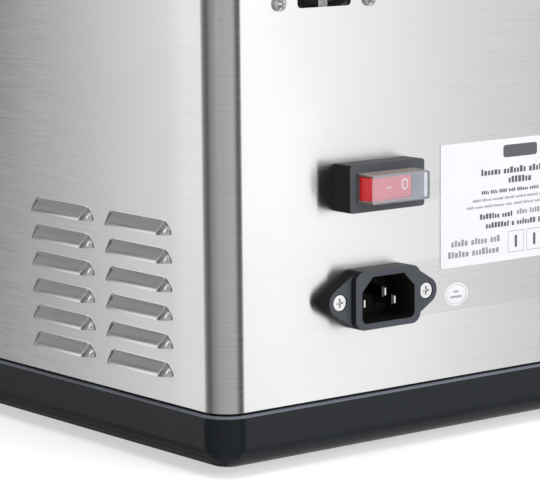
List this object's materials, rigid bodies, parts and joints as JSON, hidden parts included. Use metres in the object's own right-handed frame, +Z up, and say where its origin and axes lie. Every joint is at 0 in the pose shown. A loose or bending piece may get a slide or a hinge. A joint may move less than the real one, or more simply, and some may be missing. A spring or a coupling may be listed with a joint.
{
  "type": "sous vide water bath",
  "caption": "Box-type sous vide water bath: stainless wrap on a black base, drop-in tank, lift-off lid, bag rack, front controls, rear mains switch, inlet and fan vent.",
  "frame": {"origin": "centre of the bounding box at the bottom of the feet", "axes": "+Z up; +X to the right seen from the front; the front controls face -Y and the mains panel faces +Y"},
  "size_m": [0.3694, 0.3152, 0.296],
  "materials": {
    "black_abs": "fine-textured moulded plastic with a satin sheen",
    "rubber": "matt moulded rubber",
    "zinc_steel": "bright zinc plating",
    "galvanised": "galvanised sheet",
    "brushed_steel": "stainless sheet with a fine horizontal brushed grain",
    "tank_steel": "deep-drawn stainless steel, satin",
    "silicone": "translucent white silicone",
    "foam": "closed-cell foam",
    "heater_aluminium": "machined plate",
    "heater_film": "silicone heating mat",
    "sensor_steel": "stainless sleeve",
    "bakelite": "moulded phenolic",
    "circuit_board": "solder mask",
    "nylon": "natural nylon",
    "board_parts": "electronic components",
    "wire_sleeve": "insulated leads",
    "panel_plastic": "fine-textured moulded plastic",
    "lens_red": "smoked red window",
    "display_black": "display module",
    "button_grey": "soft-touch button caps",
    "fan_plastic": "glass-filled plastic",
    "copper": "enamelled copper winding",
    "guard_steel": "plain steel sheet",
    "bright_screw": "nickel-plated screw",
    "inlet_plastic": "moulded plastic, satin",
    "nickel": "nickel-plated brass",
    "switch_plastic": "moulded plastic, satin",
    "rocker_red": "translucent red plastic",
    "clear_cover": "clear flexible splash cover",
    "label_white": "printed label stock",
    "lid_steel": "stainless sheet with a fine brushed grain",
    "rack_wire": "electropolished stainless wire"
  },
  "bodies": {
    "case": {"base_tray": "black_abs", "rubber_feet": "rubber", "foot_screws": "zinc_steel", "foot_nuts": "zinc_steel", "chassis_plate": "galvanised", "corner_brackets": "galvanised", "body_shell": "brushed_steel", "top_frame": "black_abs", "water_tank": "tank_steel", "tank_seal": "silicone", "tank_insulation": "foam", "tank_studs": "zinc_steel", "heater_plate": "heater_aluminium", "heater_film": "heater_film", "heater_clamp": "galvanised", "heater_nuts": "zinc_steel", "tank_sensor": "sensor_steel", "sensor_clip": "galvanised", "thermal_cutout": "bakelite", "power_board": "circuit_board", "board_spacers": "nylon", "board_parts": "board_parts", "terminal_block": "nylon", "mains_wiring": "wire_sleeve", "control_panel": "panel_plastic", "display_lens": "lens_red", "display_module": "display_black", "control_board": "circuit_board", "board_screws": "zinc_steel", "button_contacts": "bakelite", "fan_frame": "fan_plastic", "fan_stator": "copper", "fan_guard": "guard_steel", "fan_screws": "bright_screw", "fan_nuts": "zinc_steel", "inlet_housing": "inlet_plastic", "inlet_pins": "nickel", "inlet_screws": "bright_screw", "inlet_nuts": "zinc_steel", "switch_housing": "switch_plastic", "switch_cover": "clear_cover", "switch_terminals": "nickel", "rating_label": "label_white", "round_sticker": "label_white"},
    "lid": {"lid_pan": "lid_steel", "lid_handle": "black_abs", "lid_screws": "zinc_steel"},
    "rack": {"rack_base": "rack_wire", "rack_divider_1": "rack_wire", "rack_divider_2": "rack_wire", "rack_divider_3": "rack_wire", "rack_divider_4": "rack_wire", "rack_divider_5": "rack_wire"},
    "rotor": {"fan_rotor": "fan_plastic"},
    "rocker": {"switch_rocker": "rocker_red"},
    "button_power": {"button_power": "button_grey"},
    "button_mode": {"button_mode": "button_grey"},
    "button_timer": {"button_timer": "button_grey"},
    "button_minus": {"button_minus": "button_grey"},
    "button_plus": {"button_plus": "button_grey"}
  },
  "joints": [
    {"name": "lid_lift", "type": "slide", "parent": "case", "child": "lid", "axis": [0, 0, 1], "range_m": [0, 0.15]},
    {"name": "rack_lift", "type": "slide", "parent": "case", "child": "rack", "axis": [0, 0, 1], "range_m": [0, 0.045]},
    {"name": "fan_spin", "type": "hinge", "parent": "case", "child": "rotor", "pos_m": [0.1353, 0.1315, 0.1824], "axis": [0, 1, 0], "continuous": true},
    {"name": "rocker_tilt", "type": "hinge", "parent": "case", "child": "rocker", "pos_m": [0.1155, 0.1466, 0.0974], "axis": [0, 0, -1], "range_deg": [0, 24]},
    {"name": "button_power_press", "type": "slide", "parent": "case", "child": "button_power", "axis": [0, 1, 0], "range_m": [0, 0.001], "stiffness_N_per_m": 800},
    {"name": "button_mode_press", "type": "slide", "parent": "case", "child": "button_mode", "axis": [0, 1, 0], "range_m": [0, 0.001], "stiffness_N_per_m": 800},
    {"name": "button_timer_press", "type": "slide", "parent": "case", "child": "button_timer", "axis": [0, 1, 0], "range_m": [0, 0.001], "stiffness_N_per_m": 800},
    {"name": "button_minus_press", "type": "slide", "parent": "case", "child": "button_minus", "axis": [0, 1, 0], "range_m": [0, 0.001], "stiffness_N_per_m": 800},
    {"name": "button_plus_press", "type": "slide", "parent": "case", "child": "button_plus", "axis": [0, 1, 0], "range_m": [0, 0.001], "stiffness_N_per_m": 800}
  ]
}
